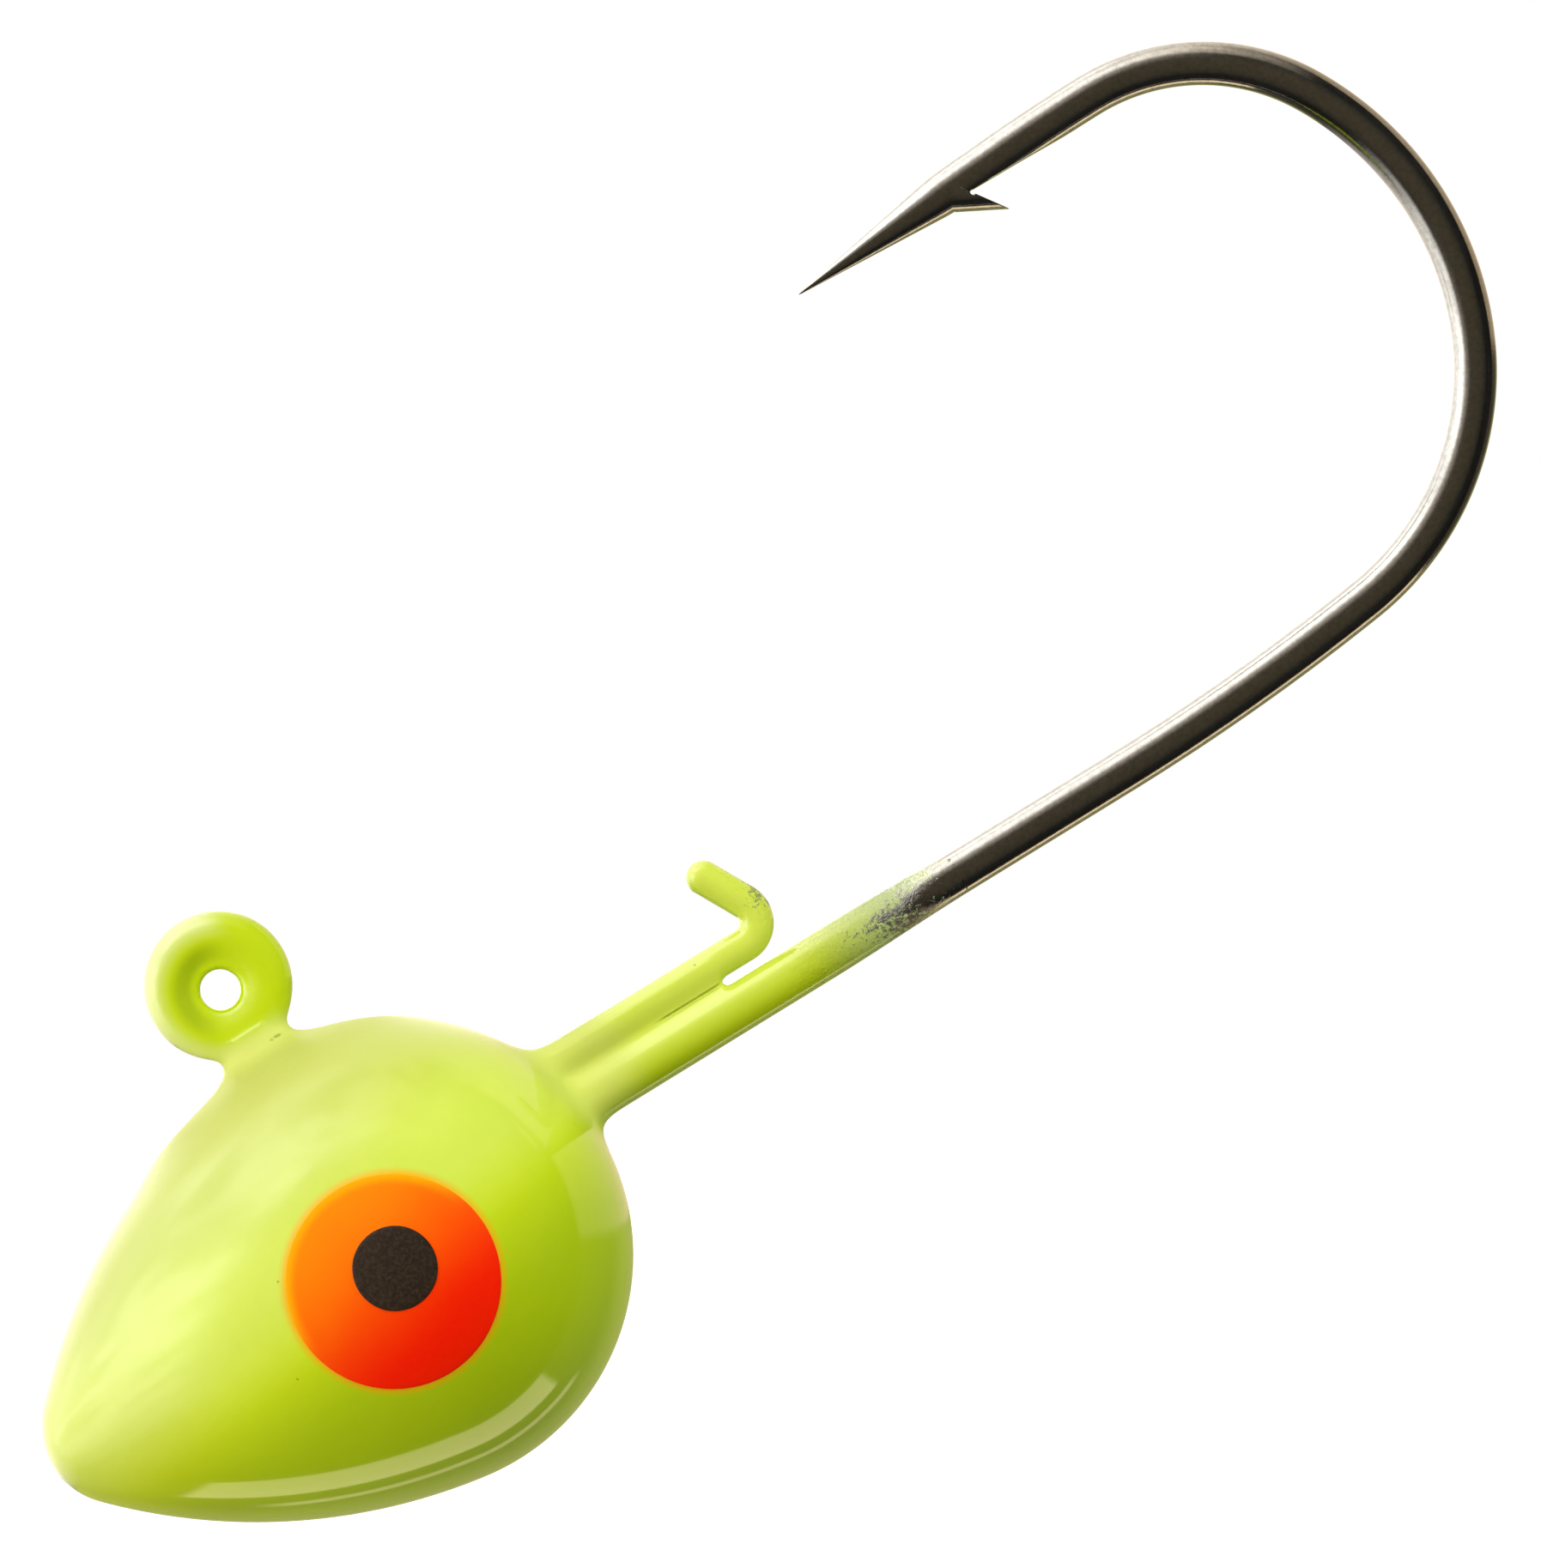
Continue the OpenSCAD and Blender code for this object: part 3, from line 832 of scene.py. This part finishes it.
# a soft box, wide across the circle round the camera's axis and tall towards it
key_data = bpy.data.lights.new("key", "AREA")
key_data.shape = "RECTANGLE"
key_data.size, key_data.size_y = KEY_WIDE, KEY_TALL
key_data.energy = KEY_RADIANCE * math.pi * KEY_WIDE * KEY_TALL
key_data.color = (1.0, 0.96, 0.90)
key = bpy.data.objects.new("key", key_data)
bpy.context.scene.collection.objects.link(key)
outward, across = toward(KEY_ANGLE, KEY_OFF_AXIS), toward(KEY_ANGLE + 90, 90)
key.matrix_world = placed(centre + outward * KEY_FAR, across, outward.cross(across), outward)
key.visible_glossy = False  # the world shows it in reflections, with softer edges

# ---------------------------------------------------------------- floor

FLOOR_Z, FLOOR_HALF = -0.030, 3
floor_mesh = bpy.data.meshes.new("floor")
corners = [(x * FLOOR_HALF, y * FLOOR_HALF, FLOOR_Z) for x, y in ((-1, -1), (1, -1), (1, 1), (-1, 1))]
floor_mesh.from_pydata(corners, [], [(0, 1, 2, 3)])
floor = bpy.data.objects.new("floor", floor_mesh)
bpy.context.scene.collection.objects.link(floor)
floor.visible_diffuse = floor.visible_glossy = False  # the world stands in for it, on the object

floor_material = bpy.data.materials.new("pale_floor")
floor_material.use_nodes = True
f = Nodes(floor_material.node_tree)
f.tree.nodes.clear()
path = f.node("ShaderNodeLightPath")
seen = f.most(path.outputs["Is Camera Ray"], f.times(path.outputs["Is Glossy Ray"], 0.25))
glow = f.node("ShaderNodeEmission")
f.put(glow.inputs["Strength"], f.times(seen, 0.62))
matte = f.node("ShaderNodeBsdfDiffuse")
f.put(matte.inputs["Color"], (0.82, 0.82, 0.82))
both = f.node("ShaderNodeAddShader")
f.put(both.inputs[0], glow.outputs[0])
f.put(both.inputs[1], matte.outputs[0])
f.put(f.node("ShaderNodeOutputMaterial").inputs["Surface"], both.outputs[0])
floor_mesh.materials.append(floor_material)

# ---------------------------------------------------------------- the world

# White for the camera, and a few soft lights for matt surfaces. In reflections it is a studio: dark on the
# camera's side, a soft box up and to the left, and a wall behind that is white there and brown towards the
# lower right. Angles are in degrees, as they are seen in the picture; soft edges round the axis are in turns.

world = bpy.data.worlds.new("studio")
bpy.context.scene.world = world
world.use_nodes = True
w = Nodes(world.node_tree)
w.tree.nodes.clear()
direction = w.node("ShaderNodeTexCoord").outputs["Generated"]
rightward, upward, front = (w.vector("DOT_PRODUCT", direction, tuple(v)) for v in (right, up, back))
turn = w.math("FRACT", w.math("DIVIDE", w.math("ARCTAN2", upward, rightward), 2 * math.pi))


def cosine(angle):
    return math.cos(math.radians(angle))


def between(value, a, b, soft):
    return w.times(w.step(value, a - soft, a + soft), w.step(value, b - soft, b + soft, 1.0, 0.0))


def sector(a, b, soft):
    """The part of the world between two angles round the camera's axis."""
    return between(turn, a / 360, b / 360, soft)


def off_axis(a, b):
    """Rises from 0 to 1 between two angles off the camera's axis."""
    return w.step(front, cosine(a), cosine(b))


def round_axis(*stops):
    """Greys by the angle round the camera's axis: angle, level and how brown it is."""
    n = w.node("ShaderNodeValToRGB")
    w.put(n.inputs[0], turn)
    marks = n.color_ramp.elements
    marks.remove(marks[1])
    for i, (angle, level, brown) in enumerate(stops):
        mark = marks.new(angle / 360) if i else marks[0]
        mark.position = angle / 360
        mark.color = (level, level * (1 - 0.45 * brown), level * (1 - brown), 1)
    return n.outputs["Color"]


wall = round_axis(
    (0, 0.19, 0.5), (4, 0.22, 0.5), (7, 1.1, 0.5), (62, 1.2, 0.45), (80, 2.0, 0.25),
    (102, 2.9, 0.15), (185, 3.4, 0.12), (212, 2.2, 0.2), (236, 0.17, 0.3), (330, 0.19, 0.4),
)
box = round_axis(
    (60, 0.05, 0.2), (88, 2.2, 0.3), (112, 4.2, 0.10), (126, 5.4, 0.04),
    (178, 5.4, 0.04), (202, 3.2, 0.08), (228, 0.05, 0.2),
)
streaks = w.node("ShaderNodeTexNoise")
w.put(streaks.inputs["Vector"], w.vector("MULTIPLY", direction, (1.0, 1.0, 2.6)))
w.put(streaks.inputs["Scale"], 2.4)
w.put(streaks.inputs["Detail"], 1.0)
box = w.vector("SCALE", box, w.step(streaks.outputs["Fac"], 0.35, 0.65, 0.75, 1.15))

studio = w.mix(off_axis(60, 12), (0.09, 0.09, 0.075), (0.19, 0.155, 0.10))  # the room on the camera's side
studio = w.mix(w.times(off_axis(20, 50), sector(100, 190, 0.06)), studio, (1.3, 1.15, 1.0))
studio = w.mix(off_axis(46, 68), studio, box)
studio = w.mix(w.mix_number(sector(66, 236, 0.03), off_axis(100, 105), off_axis(104, 122)), studio, wall)
edge = w.times(between(front, cosine(120), cosine(104), 0.01), sector(256, 321, 0.004))
line = w.times(between(front, cosine(133), cosine(129), 0.01), sector(268, 325, 0.01))
studio = w.mix(w.plus(edge, w.times(line, 0.6)), studio, (3.1, 2.55, 1.6))
backdrop = w.times(off_axis(128, 150), w.minus(1.0, sector(6, 236, 0.004)))
studio = w.mix(backdrop, studio, (0.56, 0.56, 0.20))

fill = (0.08, 0.085, 0.06)
for angle, off, colour in (
    (130, 36, (2.75, 2.65, 2.7)),
    (35, 72, (2.2, 2.4, 2.0)),
    (222, 74, (2.2, 2.2, 2.2)),
    (315, 125, (0.75, 0.95, 0.4)),
):
    lobe = w.step(w.vector("DOT_PRODUCT", direction, tuple(toward(angle, off))), 0.75, 0.98)
    fill = w.mix(lobe, fill, colour, "ADD")

path = w.node("ShaderNodeLightPath")
mirrored = w.most(path.outputs["Is Glossy Ray"], path.outputs["Is Transmission Ray"])
colour = w.mix(path.outputs["Is Camera Ray"], w.mix(mirrored, fill, studio), (1, 1, 1))
sky = w.node("ShaderNodeBackground")
w.put(sky.inputs["Color"], colour)
w.put(sky.inputs["Strength"], 1.0)
w.put(w.node("ShaderNodeOutputWorld").inputs["Surface"], sky.outputs[0])

scene = bpy.context.scene
scene.view_settings.view_transform = "Standard"
